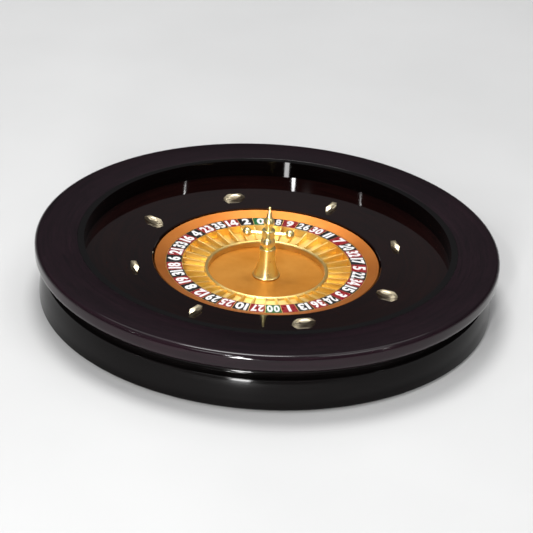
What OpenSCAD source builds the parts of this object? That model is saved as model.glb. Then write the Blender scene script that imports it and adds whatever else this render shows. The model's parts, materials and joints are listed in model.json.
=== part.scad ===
// Roulette wheel: a fixed bowl with a ball track, and a wheelhead that spins on two ball bearings.
// Millimetres, +Z up. The origin is the middle of the bottom face, on the table.

/* [Bowl] */
// Overall diameter, at the edge of the rim
bowl_d = 500; // [496:1:506]
// Height of the rim's top above the table
rim_top_z = 67.5; // [66:0.5:72]
// Thickness of the rim ring
rim_t = 20; // [19:0.5:22]
// Width of the flat top, from the rim's edge to the ball track's wall
rim_w = 52.5; // [50:0.5:54]
// Thickness of the ball track's wall
track_wall_t = 7; // [5:0.5:9]
// Slope of the apron that the ball rolls down, in degrees
apron_slope = 4; // [3:0.1:5]

/* [Deflectors] */
// How many deflectors stand on the apron
deflector_count = 8; // [8]
// Radius of the circle that the deflectors stand on
deflector_r = 146; // [140:1:160]
// Length of a deflector
deflector_l = 25; // [20:0.5:28]
// Width of a deflector
deflector_w = 8; // [6:0.5:9]
// Height of a deflector above the apron
deflector_h = 5.5; // [4:0.5:7]

/* [Wheelhead] */
// Diameter of the wheelhead
head_d = 244; // [241:0.5:246]
// How many pockets and numbers go round
pocket_count = 38; // [37, 38]
// Angle of the zero's pocket at rest, in degrees
zero_angle = 79; // [0:1:359]
// Outer radius of the number ring
number_out_r = 109.5; // [106:0.5:111]
// Outer radius of the pockets
pocket_out_r = 91.5; // [89:0.5:94]
// Inner radius of the pockets
pocket_in_r = 67.5; // [65:0.5:70]
// Thickness of a fret between two pockets
fret_t = 1.6; // [1:0.1:2.4]
// Height of the frets above the pocket floor, at the number ring
fret_h = 7; // [5:0.5:7.5]
// Height of the frets above the pocket floor, at the dish
fret_in_h = 3.5; // [2:0.5:5]

/* [Turret] */
// Height of the turret's tip above the table
turret_top_z = 106; // [101:0.5:110]
// Reach of the arms, from the axis to the middle of a knob
arm_reach = 23; // [20:0.5:30]
// Radius of the knobs on the arms
arm_knob_r = 5; // [3.5:0.1:5.5]
// Angle of the first arm at rest, in degrees
arm_angle = 72; // [0:1:359]

/* [Hidden] */
$fn = 96;
SCREW_COUNT = 8;
SMALL_SCREW_COUNT = 4;
SCREW_STEP = 360 / SCREW_COUNT;

fit_gap = 0.2;
edge_bevel = 0.8;

// How far the bowl's pieces and screws stand in from the rim's edge
felt_inset = 20;
base_inset = 18.2;
shell_out_inset = 5;
shell_in_inset = 36;
flange_inset = 28.2;
base_screw_inset = 27;
rim_screw_inset = 23;
apron_screw_inset = 32;

// Bowl, from the table up
bowl_r = bowl_d / 2;
felt_t = 2.5;
felt_r = bowl_r - felt_inset;
base_t = 7.5;
base_top_z = felt_t + base_t;
base_r = bowl_r - base_inset;
shell_lift = 0.5;
shell_z = felt_t + shell_lift;
shell_out_r = bowl_r - shell_out_inset;
shell_in_r = bowl_r - shell_in_inset;
shell_rabbet_r = base_r + fit_gap;
shell_bulge_r = 85;
shell_bulge_z = 8;
shell_edge_r = 1.5;
shell_foot_bevel = 1.5;
cove_r = 5.75;
rim_z = rim_top_z - rim_t;
cove_z = rim_z - cove_r;
lower_body_top_z = cove_z - cove_r - shell_edge_r;
function bulge_r(z) = shell_out_r - shell_bulge_r + sqrt(pow(shell_bulge_r, 2) - pow(z - shell_bulge_z, 2));
rim_top_edge_r = 5;
rim_low_edge_r = 9;
track_in_r = bowl_r - rim_w;
track_out_r = track_in_r + track_wall_t;

// Apron
head_gap = 1.3;
head_r = head_d / 2;
apron_in_r = head_r + head_gap;
apron_in_z = 43.5;
apron_t = 7;
apron_lip_w = 6;
apron_lip_z = 33;
flange_r = bowl_r - flange_inset;
flange_seat_r = flange_r + fit_gap;
flange_t = 7.5;
flange_z = rim_z - flange_t;
function apron_z(r) = apron_in_z + (r - apron_in_r) * tan(apron_slope);

// Screws of the bowl
screw_r = 2.1;
screw_head_r = 4;
screw_head_h = 3;
base_screw_circle_r = bowl_r - base_screw_inset;
base_screw_top_z = 24;
rim_screw_circle_r = bowl_r - rim_screw_inset;
rim_screw_depth = 9.5;
rim_screw_top_z = rim_top_z - rim_screw_depth;
apron_screw_circle_r = bowl_r - apron_screw_inset;
apron_screw_r = 1.5;
apron_screw_head_r = 3;
apron_screw_bite = 12;
apron_screw_low_z = flange_z - apron_screw_bite;

// Deflector pins, two under each deflector
pin_r = 1.2;
pin_spacing = 11;
pin_low_z = 39;
pin_top_z = 47.5;
deflector_edge_h = 1.5;

// Wheelhead, from its underside up
plate_z = 14.5;
plate_t = 7;
skirt_t = 2;
plate_r = head_r - skirt_t;
riser_z = plate_z + plate_t;
riser_t = 4.5;
floor_z = riser_z + riser_t;
floor_t = 3;
pocket_z = floor_z + floor_t;
number_z = 37.5;
outer_ring_top_z = 41.75;
outer_ring_step = 0.25;
outer_ring_low_z = number_z + outer_ring_step;
curb_t = 4.5;
curb_in_r = pocket_in_r - curb_t;
curb_top_z = 32;
dish_edge_z = 25;
dish_seat_z = 23.5;
dish_seat_r = 17;
pocket_step = 360 / pocket_count;

// Spindle, and the hub that turns round it
spindle_flange_r = 32;
spindle_flange_t = 3;
spindle_flange_top_z = base_top_z + spindle_flange_t;
spindle_shoulder_r = 5.5;
spindle_shoulder_z = 15;
spindle_r = 4;
spindle_thread_r = 3;
spindle_step_z = 25.5;
spindle_top_z = 39.5;
spacer_r = 5.2;
washer_r = 4.8;
washer_t = 0.8;
nut_corner_r = 5.77;
nut_t = 5;
flange_screw_circle_r = 24;
flange_screw_r = 1.75;
flange_screw_head_r = 3.5;
flange_screw_head_h = 2;
flange_screw_low_z = 4;
hub_flange_r = 28;
hub_flange_t = 2.5;
hub_low_r = 13.5;
hub_top_r = 10.7;
hub_bore_r = 9.2;
hub_top_z = 32.5;
hub_screw_circle_r = 21;
hub_screw_r = 1.5;
hub_screw_head_r = 3;
hub_screw_head_h = 1.7;
hub_screw_cover_t = 0.5;
hub_screw_top_z = riser_z - hub_screw_cover_t;

// Ball bearings: [bore radius, outer radius, width, low z, pitch radius, ball radius, cage height]
LOWER_BEARING = [spindle_r, 11, 7, spindle_shoulder_z, 7.5, 1.98, 5.2];
UPPER_BEARING = [spindle_thread_r, 9.5, 6, 26, 6.25, 1.7, 4.6];
BEARING_BALLS = 7;
ball_clearance = 0.04;
race_step_r = 1.3;
cage_half_t = 0.5;
function bearing_bore_r(b) = b[0];
function bearing_out_r(b) = b[1];
function bearing_z(b) = b[3];
function bearing_top_z(b) = b[3] + b[2];
function bearing_mid_z(b) = b[3] + b[2] / 2;
function bearing_pitch_r(b) = b[4];
function bearing_ball_r(b) = b[5];
function bearing_cage_h(b) = b[6];
washer_z = bearing_top_z(UPPER_BEARING);
nut_z = washer_z + washer_t;

// Turret, a stack of turned pieces on one stud
stud_r = 2;
turret_foot_r = 15;
turret_foot_h = 2;
turret_foot_top_z = dish_seat_z + turret_foot_h;
cone_waist_r = 8.2;
cone_waist_z = 55;
cone_sweep_r = 78;
cone_cavity_z = hub_top_z + fit_gap;
nut_room_r = 7;
nut_room_gap = 0.3;
nut_room_top_z = spindle_top_z + nut_room_gap;
nut_room_roof_t = 1;
stud_low_z = nut_room_top_z + nut_room_roof_t;
column_z = 45;
column_bead_r = 1.4;
ball_low_z = 57.5;
ball_z = 63.5;
ball_r = 8;
arm_hub_z = 69.5;
arm_z = 74.5;
arm_hub_r = 7.2;
arm_hub_body_h = 9.5;
arm_hub_edge_r = 1.6;
arm_hub_neck_r = 5.2;
arm_r = 2;
arm_socket_r = 4.2;
top_knob_low_z = 82;
top_knob_z = 88;
top_knob_r = 6;
top_knob_neck_r = 4;
finial_z = 93;
finial_r = 3.2;
finial_tip_r = 1.6;
finial_neck_r = 1;
finial_edge_h = 1;
stud_bite = 3;
stud_top_z = finial_z + stud_bite;

BRASS = [0.80, 0.62, 0.25];
GOLD = [0.93, 0.72, 0.30];
BRONZE_GOLD = [0.72, 0.48, 0.18];
ORANGE_GOLD = [0.84, 0.56, 0.24];
LACQUER = [0.05, 0.04, 0.045];
MAHOGANY = [0.12, 0.08, 0.09];
BLACK_FELT = [0.10, 0.11, 0.10];
PLYWOOD = [0.45, 0.35, 0.25];
FIBREBOARD = [0.35, 0.27, 0.20];
RED_ENAMEL = [0.50, 0.08, 0.10];
STEEL = [0.62, 0.63, 0.65];

// Half sections are drawn with the radius along x and the height along y
module block(r0, r1, z0, z1) {
    translate([r0, z0]) square([r1 - r0, z1 - z0]);
}

module disc(r_centre, z_centre, r) {
    translate([r_centre, z_centre]) circle(r = r);
}

module revolve(points) {
    rotate_extrude() polygon(points);
}

module ring(r_in, r_out, z0, z1) {
    rotate_extrude() block(r_in, r_out, z0, z1);
}

module rod(r, z0, z1) {
    translate([0, 0, z0]) cylinder(r = r, h = z1 - z0);
}

// Copies of a child on a circle, the first at angle start
module around(count, r, start = 0) {
    for (i = [0:count - 1]) rotate([0, 0, start + i * 360 / count]) translate([r, 0, 0]) children();
}

// A screw that points up, with its head's flat face down
module screw_up(r, head_r, head_h, z0, z1) {
    rod(head_r, z0, z0 + head_h);
    rod(r, z0 + head_h, z1);
}

// A screw that points down, with its head's flat face up
module screw_down(r, head_r, head_h, z0, z1) {
    rod(head_r, z1 - head_h, z1);
    rod(r, z0, z1 - head_h);
}

module felt_pad() {
    color(BLACK_FELT) rod(felt_r, 0, felt_t);
}

module base_screw_set() {
    around(SCREW_COUNT, base_screw_circle_r, SCREW_STEP / 2)
        screw_up(screw_r, screw_head_r, screw_head_h, felt_t, base_screw_top_z);
}

module flange_screw_set() {
    around(SMALL_SCREW_COUNT, flange_screw_circle_r)
        screw_down(flange_screw_r, flange_screw_head_r, flange_screw_head_h,
            flange_screw_low_z, spindle_flange_top_z);
}

module base_plate() {
    color(PLYWOOD) difference() {
        rod(base_r, felt_t, base_top_z);
        base_screw_set();
        flange_screw_set();
    }
}

module base_screws() {
    color(STEEL) base_screw_set();
}

module rim_screw_set() {
    around(SCREW_COUNT, rim_screw_circle_r)
        screw_up(screw_r, screw_head_r, screw_head_h, base_top_z, rim_screw_top_z);
}

module apron_screw_set() {
    around(SCREW_COUNT, apron_screw_circle_r, SCREW_STEP / 4)
        screw_down(apron_screw_r, apron_screw_head_r, screw_head_h, apron_screw_low_z, rim_z);
}

// Half section of the shell: a bulged lower body, then a cove under the overhanging rim
module shell_section() {
    edge_r = bulge_r(lower_body_top_z) - shell_edge_r;
    bulge_top_z = lower_body_top_z + shell_edge_r / 3;
    intersection() {
        disc(shell_out_r - shell_bulge_r, shell_bulge_z, shell_bulge_r);
        polygon([[shell_rabbet_r, shell_z], [shell_out_r - shell_foot_bevel, shell_z],
            [shell_out_r + shell_foot_bevel, shell_z + 2 * shell_foot_bevel],
            [shell_out_r + shell_foot_bevel, bulge_top_z], [shell_rabbet_r, bulge_top_z]]);
    }
    disc(edge_r, lower_body_top_z, shell_edge_r);
    block(shell_in_r, shell_rabbet_r, base_top_z, flange_z);
    difference() {
        block(flange_seat_r, edge_r, lower_body_top_z, rim_z);
        disc(edge_r, cove_z, cove_r);
    }
}

module bowl_shell() {
    color(LACQUER) difference() {
        rotate_extrude() shell_section();
        base_screw_set();
        rim_screw_set();
        apron_screw_set();
    }
}

// Everything under the apron's sloping top, out to the track wall
module under_apron() {
    revolve([[0, 0], [track_in_r, 0], [track_in_r, apron_z(track_in_r)],
        [apron_in_r, apron_z(apron_in_r)], [0, apron_z(0)]]);
}

module pin_set() {
    for (i = [0:deflector_count - 1]) rotate([0, 0, i * 360 / deflector_count])
        translate([deflector_r, 0, 0]) rotate([0, 0, i % 2 == 0 ? 90 : 0])
            for (side = [-1, 1]) translate([side * pin_spacing / 2, 0, 0])
                rod(pin_r, pin_low_z, pin_top_z);
}

module apron() {
    color(MAHOGANY) difference() {
        revolve([[apron_in_r, apron_lip_z], [apron_in_r + apron_lip_w, apron_lip_z],
            [apron_in_r + apron_lip_w, apron_z(apron_in_r + apron_lip_w) - apron_t],
            [track_in_r, flange_z], [flange_r, flange_z], [flange_r, rim_z],
            [track_in_r, rim_z], [track_in_r, apron_z(track_in_r)],
            [apron_in_r + edge_bevel, apron_z(apron_in_r + edge_bevel)],
            [apron_in_r, apron_z(apron_in_r) - edge_bevel]]);
        apron_screw_set();
        pin_set();
    }
}

module apron_screws() {
    color(STEEL) apron_screw_set();
}

// Half section of the rim: flat on top, with a small round above and a large round below
module rim_section() {
    low_r = bowl_r - rim_low_edge_r;
    low_z = rim_z + rim_low_edge_r;
    top_r = bowl_r - rim_top_edge_r;
    top_z = rim_top_z - rim_top_edge_r;
    block(track_out_r, low_r, rim_z, rim_top_z);
    block(low_r, top_r, low_z, rim_top_z);
    block(top_r, bowl_r, low_z, top_z);
    disc(low_r, low_z, rim_low_edge_r);
    disc(top_r, top_z, rim_top_edge_r);
}

module rim_ring() {
    color(MAHOGANY) difference() {
        rotate_extrude() rim_section();
        rim_screw_set();
    }
}

module rim_screws() {
    color(STEEL) rim_screw_set();
}

module track_wall() {
    color(LACQUER) ring(track_in_r, track_out_r, rim_z, rim_top_z);
}

// A canoe shape, pointed in plan and crowned both ways, standing on z = 0
module deflector_blank() {
    plan_r = (pow(deflector_l / 2, 2) + pow(deflector_w / 2, 2)) / deflector_w;
    crown = deflector_h - deflector_edge_h;
    long_r = (pow(deflector_l / 2, 2) + pow(crown, 2)) / (2 * crown);
    cross_r = (pow(deflector_w / 2, 2) + pow(crown, 2)) / (2 * crown);
    intersection() {
        translate([0, plan_r - deflector_w / 2, -deflector_h])
            cylinder(r = plan_r, h = 3 * deflector_h);
        translate([0, deflector_w / 2 - plan_r, -deflector_h])
            cylinder(r = plan_r, h = 3 * deflector_h);
        translate([0, deflector_w, deflector_h - long_r]) rotate([90, 0, 0])
            cylinder(r = long_r, h = 2 * deflector_w);
        union() {
            translate([-deflector_l, 0, deflector_h - cross_r]) rotate([0, 90, 0])
                cylinder(r = cross_r, h = 2 * deflector_l);
            translate([-deflector_l, -cross_r, -deflector_h])
                cube([2 * deflector_l, 2 * cross_r, 2 * deflector_h - cross_r]);
        }
    }
}

// Deflector i: the even ones lie across the ball's way down, the odd ones along it
module deflector(i) {
    color(BRASS) difference() {
        rotate([0, 0, i * 360 / deflector_count])
            translate([deflector_r, 0, apron_z(deflector_r)]) rotate([0, -apron_slope, 0])
                rotate([0, 0, i % 2 == 0 ? 90 : 0]) deflector_blank();
        under_apron();
        pin_set();
    }
}

module deflector_pins() {
    color(STEEL) pin_set();
}

module spindle_flange() {
    color(STEEL) difference() {
        ring(spindle_r, spindle_flange_r, base_top_z, spindle_flange_top_z);
        flange_screw_set();
    }
}

module flange_screws() {
    color(STEEL) flange_screw_set();
}

module spindle() {
    color(STEEL) union() {
        rod(spindle_r, base_top_z, spindle_step_z);
        rod(spindle_shoulder_r, spindle_flange_top_z, spindle_shoulder_z);
        rod(spindle_thread_r, spindle_step_z, spindle_top_z);
    }
}

module bearing_spacer() {
    color(STEEL) ring(spindle_r, spacer_r, bearing_top_z(LOWER_BEARING), bearing_z(UPPER_BEARING));
}

module spindle_washer() {
    color(STEEL) ring(spindle_thread_r, washer_r, washer_z, washer_z + washer_t);
}

module spindle_nut() {
    color(STEEL) difference() {
        translate([0, 0, nut_z]) cylinder(r = nut_corner_r, h = nut_t, $fn = 6);
        rod(spindle_thread_r, washer_z, spindle_top_z);
    }
}

// The groove that the balls run in, a torus
module ball_groove(b) {
    rotate_extrude() translate([bearing_pitch_r(b), bearing_mid_z(b)])
        circle(r = bearing_ball_r(b) + ball_clearance);
}

module inner_race(b) {
    color(STEEL) difference() {
        ring(bearing_bore_r(b), bearing_pitch_r(b) - race_step_r, bearing_z(b), bearing_top_z(b));
        ball_groove(b);
    }
}

module outer_race(b) {
    color(STEEL) difference() {
        ring(bearing_pitch_r(b) + race_step_r, bearing_out_r(b), bearing_z(b), bearing_top_z(b));
        ball_groove(b);
    }
}

module ball_set(b) {
    around(BEARING_BALLS, bearing_pitch_r(b))
        translate([0, 0, bearing_mid_z(b)]) sphere(r = bearing_ball_r(b));
}

module cage(b) {
    color(BRASS) difference() {
        ring(bearing_pitch_r(b) - cage_half_t, bearing_pitch_r(b) + cage_half_t,
            bearing_mid_z(b) - bearing_cage_h(b) / 2, bearing_mid_z(b) + bearing_cage_h(b) / 2);
        ball_set(b);
    }
}

module lower_inner_race() {
    inner_race(LOWER_BEARING);
}

module lower_outer_race() {
    outer_race(LOWER_BEARING);
}

module lower_cage() {
    cage(LOWER_BEARING);
}

module lower_balls() {
    color(STEEL) ball_set(LOWER_BEARING);
}

module upper_inner_race() {
    inner_race(UPPER_BEARING);
}

module upper_outer_race() {
    outer_race(UPPER_BEARING);
}

module upper_cage() {
    cage(UPPER_BEARING);
}

module upper_balls() {
    color(STEEL) ball_set(UPPER_BEARING);
}

module hub_screw_set() {
    around(SMALL_SCREW_COUNT, hub_screw_circle_r, zero_angle)
        screw_up(hub_screw_r, hub_screw_head_r, hub_screw_head_h, plate_z, hub_screw_top_z);
}

module bearing_hub() {
    color(STEEL) difference() {
        union() {
            rod(hub_flange_r, plate_z, plate_z + hub_flange_t);
            rod(hub_low_r, plate_z, dish_seat_z);
            rod(hub_top_r, plate_z, hub_top_z);
        }
        rod(bearing_out_r(LOWER_BEARING), 0, bearing_top_z(LOWER_BEARING));
        rod(hub_bore_r, 0, bearing_z(UPPER_BEARING));
        rod(bearing_out_r(UPPER_BEARING), bearing_z(UPPER_BEARING), hub_top_z + 1);
        hub_screw_set();
    }
}

module hub_screws() {
    color(STEEL) hub_screw_set();
}

module head_plate() {
    color(FIBREBOARD) difference() {
        ring(hub_low_r, plate_r, plate_z, riser_z);
        rod(hub_flange_r, 0, plate_z + hub_flange_t);
        hub_screw_set();
    }
}

module head_riser() {
    color(FIBREBOARD) ring(pocket_in_r, plate_r, riser_z, floor_z);
}

module outer_ring() {
    color(ORANGE_GOLD) revolve([[number_out_r, floor_z], [plate_r, floor_z], [plate_r, plate_z],
        [head_r, plate_z], [head_r, outer_ring_top_z - edge_bevel], [head_r - edge_bevel, outer_ring_top_z],
        [number_out_r, outer_ring_low_z]]);
}

module number_ring() {
    color(RED_ENAMEL) ring(pocket_out_r, number_out_r, floor_z, number_z);
}

module pocket_floor() {
    color(GOLD) ring(pocket_in_r, pocket_out_r, floor_z, pocket_z);
}

// Upright blade of a fret, along x, with a top that falls towards the dish
module fret_blade() {
    fall = (fret_h - fret_in_h) / (pocket_out_r - pocket_in_r);
    low_r = pocket_in_r - fret_t;
    high_r = pocket_out_r + fret_t;
    translate([0, fret_t / 2, 0]) rotate([90, 0, 0]) linear_extrude(fret_t)
        polygon([[low_r, pocket_z], [high_r, pocket_z], [high_r, pocket_z + fret_h + fall * fret_t],
            [low_r, pocket_z + fret_in_h - fall * fret_t]]);
}

module pocket_frets() {
    color(GOLD) intersection() {
        ring(pocket_in_r, pocket_out_r, pocket_z, number_z);
        around(pocket_count, 0, zero_angle + pocket_step / 2) fret_blade();
    }
}

module dish_curb() {
    color(GOLD) rotate_extrude() union() {
        block(curb_in_r, pocket_in_r, riser_z, curb_top_z - curb_t / 2);
        disc(curb_in_r + curb_t / 2, curb_top_z - curb_t / 2, curb_t / 2);
    }
}

module centre_dish() {
    color(BRONZE_GOLD) revolve([[hub_low_r, riser_z], [curb_in_r, riser_z],
        [curb_in_r, dish_edge_z], [dish_seat_r, dish_seat_z], [hub_low_r, dish_seat_z]]);
}

// Half section of the turret's slender cone, swept in to a waist, between two heights
module cone_section(z0, z1) {
    difference() {
        block(0, turret_foot_r, z0, z1);
        disc(cone_waist_r + cone_sweep_r, cone_waist_z, cone_sweep_r);
    }
}

module turret_base() {
    foot_edge_r = turret_foot_h / 2;
    color(BRASS) difference() {
        rotate_extrude() union() {
            block(0, turret_foot_r - foot_edge_r, dish_seat_z, turret_foot_top_z);
            disc(turret_foot_r - foot_edge_r, dish_seat_z + foot_edge_r, foot_edge_r);
            cone_section(turret_foot_top_z, column_z);
        }
        rod(hub_top_r, 0, cone_cavity_z);
        rod(nut_room_r, cone_cavity_z, nut_room_top_z);
        rod(stud_r, stud_low_z, column_z + 1);
    }
}

module turret_column() {
    color(BRASS) difference() {
        rotate_extrude() union() {
            cone_section(column_z, ball_low_z);
            disc(cone_waist_r - column_bead_r / 2, ball_low_z - column_bead_r, column_bead_r);
        }
        rod(stud_r, column_z - 1, ball_low_z + 1);
    }
}

module turret_ball() {
    color(BRASS) difference() {
        intersection() {
            translate([0, 0, ball_z]) sphere(r = ball_r);
            rod(2 * ball_r, ball_low_z, arm_hub_z);
        }
        rod(stud_r, ball_low_z - 1, arm_hub_z + 1);
    }
}

module arm_set() {
    for (i = [0:3]) rotate([0, 0, arm_angle + 90 * i])
        translate([arm_socket_r, 0, arm_z]) rotate([0, 90, 0])
            cylinder(r = arm_r, h = arm_reach - arm_socket_r - arm_knob_r / 3);
}

module turret_arm_hub() {
    body_low_z = arm_z - arm_hub_body_h / 2;
    body_top_z = arm_z + arm_hub_body_h / 2;
    color(BRASS) difference() {
        rotate_extrude() union() {
            block(0, arm_hub_neck_r, arm_hub_z, body_low_z);
            block(0, arm_hub_r - arm_hub_edge_r, body_low_z, body_top_z);
            block(0, arm_hub_r, body_low_z + arm_hub_edge_r, body_top_z - arm_hub_edge_r);
            disc(arm_hub_r - arm_hub_edge_r, body_low_z + arm_hub_edge_r, arm_hub_edge_r);
            disc(arm_hub_r - arm_hub_edge_r, body_top_z - arm_hub_edge_r, arm_hub_edge_r);
            block(0, top_knob_neck_r, body_top_z, top_knob_low_z);
        }
        rod(stud_r, arm_hub_z - 1, top_knob_low_z + 1);
        arm_set();
    }
}

module turret_arms() {
    color(BRASS) arm_set();
}

module arm_knobs() {
    color(BRASS) difference() {
        for (i = [0:3]) rotate([0, 0, arm_angle + 90 * i])
            translate([arm_reach, 0, arm_z]) sphere(r = arm_knob_r);
        arm_set();
    }
}

module turret_top_knob() {
    color(BRASS) difference() {
        union() {
            rod(top_knob_neck_r, top_knob_low_z, top_knob_z);
            intersection() {
                translate([0, 0, top_knob_z]) sphere(r = top_knob_r);
                rod(2 * top_knob_r, 0, finial_z);
            }
        }
        rod(stud_r, top_knob_low_z - 1, finial_z + 1);
    }
}

module turret_finial() {
    color(BRASS) difference() {
        union() {
            revolve([[0, finial_z], [finial_r, finial_z], [finial_r, finial_z + finial_edge_h],
                [finial_neck_r, turret_top_z - finial_tip_r], [0, turret_top_z - finial_tip_r]]);
            translate([0, 0, turret_top_z - finial_tip_r]) sphere(r = finial_tip_r);
        }
        rod(stud_r, finial_z - 1, stud_top_z);
    }
}

module turret_stud() {
    color(STEEL) rod(stud_r, stud_low_z, stud_top_z);
}

felt_pad();
base_plate();
base_screws();
bowl_shell();
apron();
apron_screws();
rim_ring();
rim_screws();
track_wall();
deflector(0);  // deflector_1
deflector(1);  // deflector_2
deflector(2);  // deflector_3
deflector(3);  // deflector_4
deflector(4);  // deflector_5
deflector(5);  // deflector_6
deflector(6);  // deflector_7
deflector(7);  // deflector_8
deflector_pins();
spindle_flange();
flange_screws();
spindle();
bearing_spacer();
spindle_washer();
spindle_nut();
lower_inner_race();
lower_outer_race();
lower_cage();
lower_balls();
upper_inner_race();
upper_outer_race();
upper_cage();
upper_balls();
bearing_hub();
hub_screws();
head_plate();
head_riser();
outer_ring();
number_ring();
pocket_floor();
pocket_frets();
dish_curb();
centre_dish();
turret_base();
turret_column();
turret_ball();
turret_arm_hub();
turret_arms();
arm_knobs();
turret_top_knob();
turret_finial();
turret_stud();
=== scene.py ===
import json
import math

import bmesh
import bpy
from mathutils import Matrix, Vector
from mathutils.geometry import tessellate_polygon


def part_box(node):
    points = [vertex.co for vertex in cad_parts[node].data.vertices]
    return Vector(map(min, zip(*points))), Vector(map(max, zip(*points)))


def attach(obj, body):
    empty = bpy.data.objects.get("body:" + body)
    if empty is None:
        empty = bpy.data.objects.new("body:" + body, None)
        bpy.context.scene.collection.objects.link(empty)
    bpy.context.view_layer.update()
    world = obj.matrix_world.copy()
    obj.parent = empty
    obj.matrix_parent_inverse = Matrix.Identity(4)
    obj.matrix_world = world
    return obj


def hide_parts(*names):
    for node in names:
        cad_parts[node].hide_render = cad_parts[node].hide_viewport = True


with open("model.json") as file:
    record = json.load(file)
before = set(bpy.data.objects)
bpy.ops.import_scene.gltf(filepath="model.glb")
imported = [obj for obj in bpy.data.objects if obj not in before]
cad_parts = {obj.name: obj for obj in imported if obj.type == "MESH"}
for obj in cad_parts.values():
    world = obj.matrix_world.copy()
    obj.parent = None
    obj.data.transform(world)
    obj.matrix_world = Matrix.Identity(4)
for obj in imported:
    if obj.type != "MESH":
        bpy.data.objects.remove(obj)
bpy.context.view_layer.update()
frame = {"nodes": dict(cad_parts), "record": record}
NODES = frame["nodes"]
MM = 0.001


# ---------------------------------------------------------------- measures from the frame


def outer_radius(node):
    """Largest radius of a round CAD node."""
    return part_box(node)[1].x


def top_of(node):
    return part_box(node)[1].z


def bottom_of(node):
    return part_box(node)[0].z


RIM_R = outer_radius("rim_ring")
ZERO_ANGLE = math.radians(79)
POCKETS = 38
POCKET_STEP = 2 * math.pi / POCKETS


# ---------------------------------------------------------------- camera, light and floor

CAMERA_AZIMUTH = math.radians(-16.5)
CAMERA_ELEVATION = math.radians(28.0)
CAMERA_DISTANCE = 8.61 * RIM_R
CAMERA_ROLL = math.radians(3.4)
LENS_MM = 134
AIM = Vector((0, 0, 0.5 * top_of("rim_ring")))


def direction(azimuth, elevation):
    """Unit vector towards an azimuth (0 is -Y, 90 degrees is +X) and an elevation."""
    flat = math.cos(elevation)
    return Vector((math.sin(azimuth) * flat, -math.cos(azimuth) * flat, math.sin(elevation)))


def facing(place, target):
    return (target - place).to_track_quat("-Z", "Y")


def make_camera():
    data = bpy.data.cameras.new("camera")
    data.lens = LENS_MM
    camera = bpy.data.objects.new("camera", data)
    bpy.context.scene.collection.objects.link(camera)
    camera.location = AIM + CAMERA_DISTANCE * direction(CAMERA_AZIMUTH, CAMERA_ELEVATION)
    turn = facing(camera.location, AIM).to_matrix().to_4x4() @ Matrix.Rotation(CAMERA_ROLL, 4, "Z")
    camera.rotation_euler = turn.to_euler()
    bpy.context.scene.camera = camera


# Name, azimuth and elevation in degrees, distance and size in metres, watts, and the height in
# metres of a light that is upright and oblong.
LIGHTS = (
    ("softbox_back", 163, 66, 2.6, 2.4, 16),
    ("lamp_above", -175, 77, 2.4, 0.9, 31),
    ("key_left", -42, 45, 2.4, 0.7, 6),
    ("fill_right", 60, 64, 2.6, 1.0, 8),
    ("window_high", -26, 24, 2.5, 0.12, 22, 0.8),
    ("window_low", -25, 5, 2.4, 0.36, 60, 0.36),
    ("spot_front", -32, 36, 2.4, 0.09, 7),
    ("spot_left", -82, 36, 2.6, 0.06, 2.4),
    ("spot_right", 46, 36, 2.6, 0.06, 2.4),
)


def make_light(name, azimuth, elevation, distance, size, power, height=None):
    """A soft light that faces the wheel: round, or upright and oblong where a height is given."""
    data = bpy.data.lights.new(name, "AREA")
    data.shape = "DISK" if height is None else "RECTANGLE"
    data.size = size
    if height is not None:
        data.size_y = height
    data.energy = power
    light = bpy.data.objects.new(name, data)
    bpy.context.scene.collection.objects.link(light)
    light.location = AIM + distance * direction(math.radians(azimuth), math.radians(elevation))
    light.rotation_euler = facing(light.location, AIM).to_euler()
    light.visible_camera = False


def make_picture():
    """Plain colours on screen, so that gold stays gold where it is bright."""
    bpy.context.scene.view_settings.view_transform = "Standard"


WORLD_LOW = (0.10, 0.10, 0.105, 1)
WORLD_HIGH = (0.75, 0.76, 0.80, 1)
WORLD_LOW_END = 0.35
WORLD_STRENGTH = 0.5


def make_world():
    """A soft studio: dim at the sides, brighter overhead."""
    world = bpy.data.worlds.new("studio")
    bpy.context.scene.world = world
    world.use_nodes = True
    tree = world.node_tree
    coordinate = tree.nodes.new("ShaderNodeTexCoord")
    split = tree.nodes.new("ShaderNodeSeparateXYZ")
    ramp = tree.nodes.new("ShaderNodeValToRGB")
    tree.links.new(coordinate.outputs["Generated"], split.inputs[0])
    tree.links.new(split.outputs["Z"], ramp.inputs[0])
    tree.links.new(ramp.outputs[0], tree.nodes["Background"].inputs["Color"])
    ramp.color_ramp.elements[0].color = WORLD_LOW
    ramp.color_ramp.elements[1].color = WORLD_HIGH
    ramp.color_ramp.elements[0].position = WORLD_LOW_END
    tree.nodes["Background"].inputs["Strength"].default_value = WORLD_STRENGTH


FLOOR_R = 3.0
SWEEP_R = 2.0
SWEEP_ANGLE = math.radians(70)
FLOOR_SEGMENTS = 96
SWEEP_STEPS = 16
FLOOR_DARK = (0.58, 0.58, 0.575)
FLOOR_LIGHT = (0.62, 0.62, 0.615)


def make_floor():
    """A pale floor that sweeps up all round, far from the wheel."""
    outline = [(0.0, 0.0), (FLOOR_R, 0.0)]
    for i in range(1, SWEEP_STEPS + 1):
        a = SWEEP_ANGLE * i / SWEEP_STEPS
        outline.append((FLOOR_R + SWEEP_R * math.sin(a), SWEEP_R * (1 - math.cos(a))))
    floor = lathe("floor", outline, FLOOR_SEGMENTS)
    floor.data.materials.append(floor_material())


# ---------------------------------------------------------------- mesh helpers


def mesh_object(name, build):
    """A new mesh object whose mesh build(bm) fills in."""
    bm = bmesh.new()
    build(bm)
    mesh = bpy.data.meshes.new(name)
    bm.to_mesh(mesh)
    bm.free()
    obj = bpy.data.objects.new(name, mesh)
    bpy.context.scene.collection.objects.link(obj)
    return obj


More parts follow.
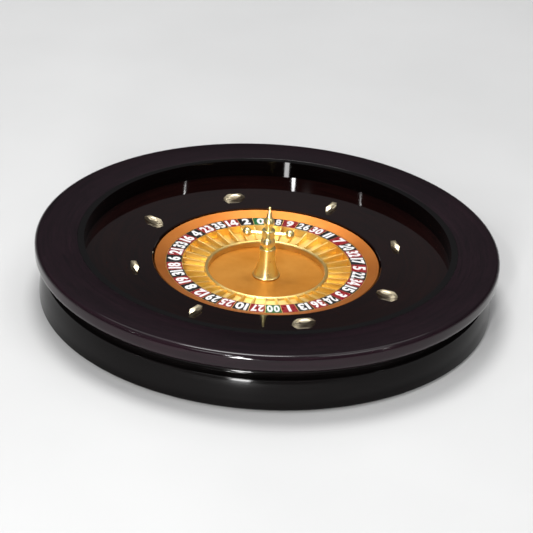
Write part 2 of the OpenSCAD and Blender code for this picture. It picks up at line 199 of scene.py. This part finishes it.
def lathe(name, outline, segments, closed=False):
    """Turns an outline of (radius, height) round Z. A point at radius 0 becomes one vertex."""

    def build(bm):
        rings = []
        for r, z in outline:
            if r == 0:
                rings.append([bm.verts.new((0, 0, z))] * segments)
                continue
            rings.append([
                bm.verts.new((r * math.cos(a), r * math.sin(a), z))
                for a in (2 * math.pi * i / segments for i in range(segments))
            ])
        pairs = list(zip(rings, rings[1:]))
        if closed:
            pairs.append((rings[-1], rings[0]))
        for low, high in pairs:
            for i in range(segments):
                j = (i + 1) % segments
                corners = list(dict.fromkeys([low[i], low[j], high[j], high[i]]))
                bm.faces.new(corners)
        bmesh.ops.recalc_face_normals(bm, faces=bm.faces)

    obj = mesh_object(name, build)
    obj.data.shade_smooth()
    return obj


def arc(r, z, radius, start, end, steps):
    """Points on a round edge about (r, z), from one angle to another in degrees, for a lathe."""
    angles = (math.radians(start + (end - start) * i / steps) for i in range(steps + 1))
    return [(r + radius * math.cos(a), z + radius * math.sin(a)) for a in angles]


# ---------------------------------------------------------------- material helpers


class Look:
    """A material's node graph, with short calls for the nodes that these looks use."""

    def __init__(self, name):
        self.material = bpy.data.materials.new(name)
        self.material.use_nodes = True
        self.tree = self.material.node_tree
        self.shader = self.tree.nodes["Principled BSDF"]

    def add(self, kind, settings=None, **inputs):
        node = self.tree.nodes.new("ShaderNode" + kind)
        for key, value in (settings or {}).items():
            setattr(node, key, value)
        for key, value in inputs.items():
            self.feed(node.inputs[key.replace("_", " ")], value)
        return node

    def feed(self, socket, value):
        if isinstance(value, bpy.types.NodeSocket):
            self.tree.links.new(value, socket)
        else:
            socket.default_value = value

    def math(self, operation, first, second=0.0):
        node = self.add("Math", {"operation": operation})
        self.feed(node.inputs[0], first)
        self.feed(node.inputs[1], second)
        return node.outputs[0]

    def place(self):
        """Place on the object, in metres, which moves with it."""
        return self.add("TexCoord").outputs["Object"]

    def polar(self, around, outward, up):
        """(angle x around, radius x outward, height x up), for grain that runs round the axis."""
        split = self.add("SeparateXYZ", Vector=self.place())
        x, y, z = split.outputs
        squared = self.math("ADD", self.math("MULTIPLY", x, x), self.math("MULTIPLY", y, y))
        radius = self.math("SQRT", squared)
        angle = self.math("ARCTAN2", y, x)
        return self.add(
            "CombineXYZ",
            X=self.math("MULTIPLY", angle, around),
            Y=self.math("MULTIPLY", radius, outward),
            Z=self.math("MULTIPLY", z, up),
        ).outputs[0]

    def noise(self, vector, scale, detail=3.0, roughness=0.5, distortion=0.0):
        node = self.add("TexNoise", Vector=vector, Scale=scale, Detail=detail, Roughness=roughness)
        self.feed(node.inputs["Distortion"], distortion)
        return node.outputs["Fac"]

    def ramp(self, factor, *stops):
        """A colour ramp through (position, colour) stops; a single number is a grey."""
        node = self.add("ValToRGB", Fac=factor)
        elements = node.color_ramp.elements
        while len(elements) < len(stops):
            elements.new(0.5)
        for element, (position, colour) in zip(elements, stops):
            element.position = position
            grey = isinstance(colour, float)
            element.color = (colour, colour, colour, 1) if grey else (*colour, 1)
        return node.outputs["Color"]

    def mix(self, factor, first, second, blend="MIX"):
        node = self.add("Mix", {"data_type": "RGBA", "blend_type": blend})
        self.feed(node.inputs["Factor"], factor)
        self.feed(node.inputs["A"], first)
        self.feed(node.inputs["B"], second)
        return node.outputs["Result"]

    def span(self, factor, low, high):
        """factor, from 0 to 1, spread over low to high."""
        return self.add("MapRange", Value=factor, To_Min=low, To_Max=high).outputs["Result"]

    def bump(self, height, depth, strength):
        return self.add("Bump", Strength=strength, Distance=depth, Height=height).outputs["Normal"]

    def surface(self, **inputs):
        """Feeds the shader's inputs and gives the finished material."""
        for key, value in inputs.items():
            self.feed(self.shader.inputs[key.replace("_", " ")], value)
        return self.material


def linear(value):
    """One channel of an sRGB screen colour, from 0 to 255, as linear light."""
    return value / 255 / 12.92 if value <= 10 else ((value / 255 + 0.055) / 1.055) ** 2.4


def rgb(red, green, blue):
    return (linear(red), linear(green), linear(blue))


# ---------------------------------------------------------------- materials


def floor_material():
    look = Look("floor_paper")
    cloud = look.noise(look.place(), 3.0)
    return look.surface(
        Base_Color=look.ramp(cloud, (0.3, FLOOR_DARK), (0.7, FLOOR_LIGHT)),
        Roughness=0.75,
    )


def stained_lacquer(name, dark, light, coat_gloss, coat_ior, grain=1.0):
    """Clear lacquer over wood stained nearly black, its grain running round the bowl."""
    look = Look(name)
    flow = look.polar(3.0, 260.0, 260.0)
    streak = look.noise(flow, 1.0, detail=6.0, roughness=0.62, distortion=0.8)
    cloud = look.noise(look.place(), 9.0)
    pores = look.noise(look.polar(26.0, 1400.0, 1400.0), 1.0, roughness=0.7)
    figure = look.mix(0.35, streak, cloud)
    stain = look.ramp(figure, (0.36, dark), (0.66, light))
    pore_line = look.ramp(pores, (0.33, 0.55), (0.46, 1.0))
    peel = look.noise(look.place(), 420.0, detail=2.0)
    haze = look.noise(look.place(), 30.0, detail=4.0, roughness=0.6)
    return look.surface(
        Base_Color=look.mix(1.0, stain, pore_line, "MULTIPLY"),
        Roughness=0.6,
        Specular_IOR_Level=0.0,
        Normal=look.bump(streak, 0.05 * MM * grain, 0.2),
        Coat_Weight=1.0,
        Coat_Roughness=look.span(haze, coat_gloss * 0.8, coat_gloss * 1.2),
        Coat_Normal=look.bump(peel, 0.01 * MM, 0.06),
        Coat_IOR=coat_ior,
    )


def turned_metal(name, colour, shade, gloss, rings=2200.0, groove=0.012 * MM, aniso=0.55):
    """Metal turned on a lathe: fine rings round the axis that draw highlights out across them."""
    look = Look(name)
    turning = look.noise(look.polar(1.2, rings, rings), 1.0, detail=4.0, roughness=0.6)
    cloud = look.noise(look.place(), 22.0, detail=4.0, roughness=0.55)
    smear = look.noise(look.place(), 90.0, roughness=0.6, distortion=0.6)
    tint = look.mix(look.ramp(cloud, (0.35, 0.0), (0.72, 1.0)), (*colour, 1), (*shade, 1))
    return look.surface(
        Base_Color=tint,
        Metallic=1.0,
        Roughness=look.span(look.mix(0.5, turning, smear), gloss * 0.75, gloss * 1.3),
        Anisotropic=aniso,
        Anisotropic_Rotation=0.25,
        Tangent=look.add("Tangent", {"direction_type": "RADIAL", "axis": "Z"}).outputs[0],
        Normal=look.bump(turning, groove, 0.5),
    )


def plain_metal(name, colour, gloss):
    """Machined or pressed metal with a fine, even grain."""
    look = Look(name)
    grit = look.noise(look.place(), 1800.0)
    cloud = look.noise(look.place(), 45.0, roughness=0.6)
    darker = tuple(0.8 * c for c in colour)
    return look.surface(
        Base_Color=look.mix(cloud, (*darker, 1), (*colour, 1)),
        Metallic=1.0,
        Roughness=look.span(cloud, gloss * 0.75, gloss * 1.3),
        Normal=look.bump(grit, 0.01 * MM, 0.4),
    )


def enamel(name, colour, gloss=0.28):
    """Baked enamel: an even colour with a faint mottle and a soft skin."""
    look = Look(name)
    mottle = look.noise(look.place(), 160.0, detail=4.0)
    deeper = tuple(0.78 * c for c in colour)
    return look.surface(
        Base_Color=look.mix(mottle, (*deeper, 1), (*colour, 1)),
        Roughness=look.span(mottle, gloss * 0.8, gloss * 1.2),
        Coat_Weight=0.5,
        Coat_Roughness=0.12,
        Normal=look.bump(mottle, 0.03 * MM, 0.2),
    )


def fibreboard():
    look = Look("fibreboard")
    fibre = look.noise(look.place(), 700.0, detail=5.0, roughness=0.7)
    cloud = look.noise(look.place(), 25.0)
    strands = look.ramp(fibre, (0.3, rgb(118, 88, 60)), (0.7, rgb(168, 134, 98)))
    blotches = look.ramp(cloud, (0.3, rgb(128, 98, 68)), (0.7, rgb(158, 124, 90)))
    return look.surface(
        Base_Color=look.mix(0.5, strands, blotches),
        Roughness=0.85,
        Normal=look.bump(fibre, 0.1 * MM, 0.5),
    )


def felt():
    look = Look("felt")
    fibre = look.noise(look.place(), 1600.0, detail=6.0, roughness=0.75, distortion=1.2)
    return look.surface(
        Base_Color=look.ramp(fibre, (0.3, rgb(18, 20, 19)), (0.75, rgb(52, 55, 52))),
        Roughness=0.95,
        Sheen_Weight=0.4,
        Normal=look.bump(fibre, 0.3 * MM, 0.7),
    )


BRIGHT_GOLD = rgb(250, 224, 152)
DEEP_GOLD = rgb(242, 203, 118)

FINISHES = {
    "felt": felt,
    "board": fibreboard,
    "black_lacquer": lambda: stained_lacquer(
        "black_lacquer", rgb(5, 4, 4), rgb(10, 8, 8), coat_gloss=0.09, coat_ior=1.22, grain=0.4
    ),
    "rim_lacquer": lambda: stained_lacquer(
        "rim_lacquer", rgb(14, 7, 11), rgb(28, 15, 21), coat_gloss=0.08, coat_ior=1.35
    ),
    "apron_lacquer": lambda: stained_lacquer(
        "apron_lacquer", rgb(9, 2, 2), rgb(22, 6, 5), coat_gloss=0.05, coat_ior=1.52
    ),
    "deflector_brass": lambda: plain_metal("deflector_brass", rgb(255, 240, 205), gloss=0.38),
    "steel": lambda: plain_metal("steel", rgb(196, 198, 202), gloss=0.32),
    "bearing_steel": lambda: plain_metal("bearing_steel", rgb(212, 214, 218), gloss=0.12),
    "cage_brass": lambda: plain_metal("cage_brass", rgb(214, 176, 96), gloss=0.3),
    "hub_alloy": lambda: turned_metal(
        "hub_alloy", rgb(200, 201, 204), rgb(176, 177, 182), gloss=0.3
    ),
    "orange_gold": lambda: turned_metal(
        "orange_gold", rgb(206, 130, 62), rgb(192, 114, 50), gloss=0.5, aniso=0.15
    ),
    "number_print": lambda: turned_metal("number_ring_gold", BRIGHT_GOLD, DEEP_GOLD, gloss=0.4),
    "bright_gold": lambda: turned_metal("bright_gold", BRIGHT_GOLD, DEEP_GOLD, gloss=0.4),
    "dish_gold": lambda: turned_metal(
        "dish_gold", rgb(222, 156, 70), rgb(204, 134, 48),
        gloss=0.48, rings=3000.0, groove=0.006 * MM, aniso=0.0,
    ),
    "turret_brass": lambda: turned_metal(
        "turret_brass", rgb(252, 238, 176), rgb(242, 222, 146),
        gloss=0.28, rings=2600.0, groove=0.008 * MM, aniso=0.5,
    ),
}
# The track wall has a lacquer of its own. The near-black stain is real, but its extra darkness
# beside the rim's lacquer is painted shade for the wall's inner face.
OWN_FINISHES_WITH_PAINTED_SHADE = {
    "track_wall": lambda: stained_lacquer(
        "wall_lacquer_painted_shade", rgb(2, 1, 1), rgb(5, 3, 3), coat_gloss=0.04, coat_ior=1.5, grain=0.4
    ),
}


def finish_cad_nodes():
    """Each CAD node gets its slot's finish, or one of its own; the wall's own lacquer carries
    painted shade.
    """
    made = {name: make() for name, make in {**FINISHES, **OWN_FINISHES_WITH_PAINTED_SHADE}.items()}
    for part in frame["record"]["subparts"]:
        node = part["node"]
        for slot in NODES[node].material_slots:
            slot.material = made[node if node in OWN_FINISHES_WITH_PAINTED_SHADE else part["material_slot"]]


# ---------------------------------------------------------------- rim and curb

# The frame's meshes of these two nodes have thin folded triangles along their round edges, which
# break up the reflections there, so a turned piece of the same shape is shown in place of each.

RIM_LOW_ROUND = 9 * MM
RIM_TOP_ROUND = 5 * MM
RIM_JOINT_ROUND = 0.5 * MM
RIM_LOW_STEPS = 16
RIM_TOP_STEPS = 12
RIM_JOINT_STEPS = 4
CURB_T = 4.5 * MM
CURB_STEPS = 16
FINE_SEGMENTS = 320
SHARP_ANGLE = math.radians(40)


def take_place(piece, node, body):
    """A turned piece that is seen in place of a CAD node of the same shape."""
    piece.data.set_sharp_from_angle(angle=SHARP_ANGLE)
    piece.data.materials.append(NODES[node].material_slots[0].material)
    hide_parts(node)
    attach(piece, body)


def make_rim():
    """The rim, from its joint with the wall out under the edge and back over the top."""
    inner = outer_radius("track_wall")
    low, top = bottom_of("rim_ring"), top_of("rim_ring")
    outline = [
        (inner, low),
        *arc(RIM_R - RIM_LOW_ROUND, low + RIM_LOW_ROUND, RIM_LOW_ROUND, -90, 0, RIM_LOW_STEPS),
        *arc(RIM_R - RIM_TOP_ROUND, top - RIM_TOP_ROUND, RIM_TOP_ROUND, 0, 90, RIM_TOP_STEPS),
        *arc(
            inner + RIM_JOINT_ROUND, top - RIM_JOINT_ROUND, RIM_JOINT_ROUND,
            90, 180, RIM_JOINT_STEPS,
        ),
    ]
    rim = lathe("rim", outline, FINE_SEGMENTS, closed=True)
    take_place(rim, "rim_ring", "bowl")


def make_curb():
    """The curb round the dish, with its half-round top."""
    outer = outer_radius("dish_curb")
    low, top = bottom_of("dish_curb"), top_of("dish_curb")
    outline = [
        (outer - CURB_T, low),
        (outer, low),
        *arc(outer - CURB_T / 2, top - CURB_T / 2, CURB_T / 2, 0, 180, CURB_STEPS),
    ]
    curb = lathe("curb", outline, FINE_SEGMENTS, closed=True)
    take_place(curb, "dish_curb", "wheelhead")


# ---------------------------------------------------------------- number ring

CELL_ORDER = (
    "0", "28", "9", "26", "30", "11", "7", "20", "32", "17",
    "5", "22", "34", "15", "3", "24", "36", "13", "1",
    "00", "27", "10", "25", "29", "12", "8", "19", "31", "18",
    "6", "21", "33", "16", "4", "23", "35", "14", "2",
)
GREEN_CELLS = ("0", "00")
RED_CELLS = (
    "1", "3", "5", "7", "9", "12", "14", "16", "18",
    "19", "21", "23", "25", "27", "30", "32", "34", "36",
)
CELL_TINTS = {"red": rgb(150, 14, 26), "black": rgb(13, 11, 13), "green": rgb(16, 104, 52)}
CELL_INSET = 0.7 * MM
CELL_GAP = 0.5 * MM
CELL_RISE = 0.25 * MM
CELL_SINK = 0.1 * MM
CELL_ARC_STEPS = 6
CELL_BEVEL = 0.12 * MM
NUMERAL_RISE = 0.12 * MM
NUMERAL_HEIGHT = 14.0 * MM
NUMERAL_WIDTH = 13.4 * MM
NUMERAL_CONDENSE = 0.92
NUMERAL_WELD = 0.001 * MM
NUMERAL_WEIGHT = 0.04
DIGIT_STEPS = 7
DIGIT_GAP = 0.1
FOUR_OUTLINE = (
    (0.30, 0), (0.46, 0), (0.46, 0.16), (0.56, 0.16), (0.56, 0.30), (0.46, 0.30),
    (0.46, 0.74), (0.27, 0.74), (0, 0.29), (0, 0.15), (0.30, 0.15),
)
FOUR_COUNTER = ((0.15, 0.31), (0.30, 0.31), (0.30, 0.54))
RING_IN_R = outer_radius("pocket_floor")
RING_OUT_R = outer_radius("number_ring")
CELL_TOP = top_of("number_ring") + CELL_RISE


def cell_angle(index):
    """Angle of a cell's middle; the order runs clockwise from above."""
    return ZERO_ANGLE - index * POCKET_STEP


def cell_colour(label):
    if label in GREEN_CELLS:
        return "green"
    return "red" if label in RED_CELLS else "black"


def add_cell(bm, middle):
    """A wedge of enamel, its sides parallel to the gold lines beside it."""
    inner, outer = RING_IN_R + CELL_INSET, RING_OUT_R - CELL_INSET
    steps_there = range(CELL_ARC_STEPS + 1)
    corners = []
    for radius, steps in ((inner, steps_there), (outer, reversed(steps_there))):
        half = POCKET_STEP / 2 - CELL_GAP / 2 / radius
        for i in steps:
            a = middle - half + 2 * half * i / CELL_ARC_STEPS
            corners.append((radius * math.cos(a), radius * math.sin(a)))
    low_z = top_of("number_ring") - CELL_SINK
    low = [bm.verts.new((x, y, low_z)) for x, y in corners]
    high = [bm.verts.new((x, y, CELL_TOP)) for x, y in corners]
    bm.faces.new(low[::-1])
    bm.faces.new(high)
    for i in range(len(corners)):
        j = (i + 1) % len(corners)
        bm.faces.new((low[i], low[j], high[j], high[i]))


def make_cells():
    for colour, tint in CELL_TINTS.items():
        middles = [
            cell_angle(i) for i, label in enumerate(CELL_ORDER) if cell_colour(label) == colour
        ]

        def build(bm, middles=middles):
            for middle in middles:
                add_cell(bm, middle)

        cells = mesh_object("number_cells_" + colour, build)
        cells.data.materials.append(enamel("enamel_" + colour, tint))
        soften(cells, CELL_BEVEL, segments=1)
        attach(cells, "wheelhead")


def glyph_mesh(digit):
    """A digit as a flat mesh, made a little bolder. The 9 is the 6 turned over."""
    if digit == "9":
        mesh = glyph_mesh("6")
        mesh.transform(Matrix.Rotation(math.pi, 4, "Z"))
        return mesh
    curve = bpy.data.curves.new("digit", "FONT")
    curve.body = digit
    curve.size = 1.0
    curve.offset = NUMERAL_WEIGHT
    curve.resolution_u = DIGIT_STEPS
    holder = bpy.data.objects.new("digit", curve)
    bpy.context.scene.collection.objects.link(holder)
    bpy.context.view_layer.update()
    graph = bpy.context.evaluated_depsgraph_get()
    mesh = bpy.data.meshes.new_from_object(holder.evaluated_get(graph))
    bpy.data.objects.remove(holder)
    bpy.data.curves.remove(curve)
    return mesh


def four_mesh():
    """A bold 4 of straight strokes, with a clean counter."""
    loops = [[Vector((x, y, 0)) for x, y in loop] for loop in (FOUR_OUTLINE, FOUR_COUNTER)]
    mesh = bpy.data.meshes.new("digit")
    mesh.from_pydata([point for loop in loops for point in loop], [], tessellate_polygon(loops))
    return mesh


def numeral_mesh(label):
    """A numeral as a mesh, centred, fitted to the cell, its foot towards -Y."""
    bm = bmesh.new()
    edge = 0.0
    for digit in label:
        mesh = four_mesh() if digit == "4" else glyph_mesh(digit)
        xs = [v.co.x for v in mesh.vertices]
        ys = [v.co.y for v in mesh.vertices]
        tall = 1 / (max(ys) - min(ys))
        mesh.transform(
            Matrix.Translation((edge, 0, 0))
            @ Matrix.Diagonal((tall, tall, 1, 1))
            @ Matrix.Translation((-min(xs), -min(ys), 0))
        )
        edge += tall * (max(xs) - min(xs)) + DIGIT_GAP
        bm.from_mesh(mesh)
        bpy.data.meshes.remove(mesh)
    width = edge - DIGIT_GAP
    wide = min(NUMERAL_CONDENSE * NUMERAL_HEIGHT, NUMERAL_WIDTH / width)
    centre = Matrix.Translation((-width / 2, -0.5, 0))
    bm.transform(Matrix.Diagonal((wide, NUMERAL_HEIGHT, 1, 1)) @ centre)
    mesh = bpy.data.meshes.new("numeral")
    bm.to_mesh(mesh)
    bm.free()
    return mesh


def make_numerals():
    """White numerals, each with its head outwards."""
    middle_r = (RING_IN_R + RING_OUT_R) / 2

    def build(bm):
        for index, label in enumerate(CELL_ORDER):
            mesh = numeral_mesh(label)
            a = cell_angle(index)
            mesh.transform(
                Matrix.Translation((middle_r * math.cos(a), middle_r * math.sin(a), CELL_TOP))
                @ Matrix.Rotation(a - math.pi / 2, 4, "Z")
            )
            bm.from_mesh(mesh)
            bpy.data.meshes.remove(mesh)
        bmesh.ops.remove_doubles(bm, verts=bm.verts, dist=NUMERAL_WELD)
        bmesh.ops.dissolve_degenerate(bm, edges=bm.edges, dist=NUMERAL_WELD)
        raised = bmesh.ops.extrude_face_region(bm, geom=list(bm.faces))
        verts = [g for g in raised["geom"] if isinstance(g, bmesh.types.BMVert)]
        bmesh.ops.translate(bm, verts=verts, vec=(0, 0, NUMERAL_RISE))
        bmesh.ops.recalc_face_normals(bm, faces=bm.faces)
        for face in bm.faces:
            face.smooth = False

    numerals = mesh_object("numerals", build)
    numerals.data.materials.append(enamel("enamel_white", rgb(252, 251, 249), gloss=0.35))
    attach(numerals, "wheelhead")


# ---------------------------------------------------------------- edges


SOFT_WELD = 0.002 * MM
SOFT_ANGLE = math.radians(32)
FRET_BEVEL = 0.35 * MM


def soften(obj, width, segments):
    """Rounds an object's sharp edges a little, so that they catch the light."""
    weld = obj.modifiers.new("weld", "WELD")
    weld.merge_threshold = SOFT_WELD
    bevel = obj.modifiers.new("bevel", "BEVEL")
    bevel.width = width
    bevel.segments = segments
    bevel.limit_method = "ANGLE"
    bevel.angle_limit = SOFT_ANGLE
    bevel.harden_normals = False
    normals = obj.modifiers.new("normals", "WEIGHTED_NORMAL")
    normals.keep_sharp = False
    normals.weight = 100


# ---------------------------------------------------------------- the scene

make_camera()
make_picture()
make_world()
make_floor()
for light in LIGHTS:
    make_light(*light)
finish_cad_nodes()
make_rim()
make_curb()
soften(NODES["pocket_frets"], FRET_BEVEL, segments=2)
make_cells()
make_numerals()
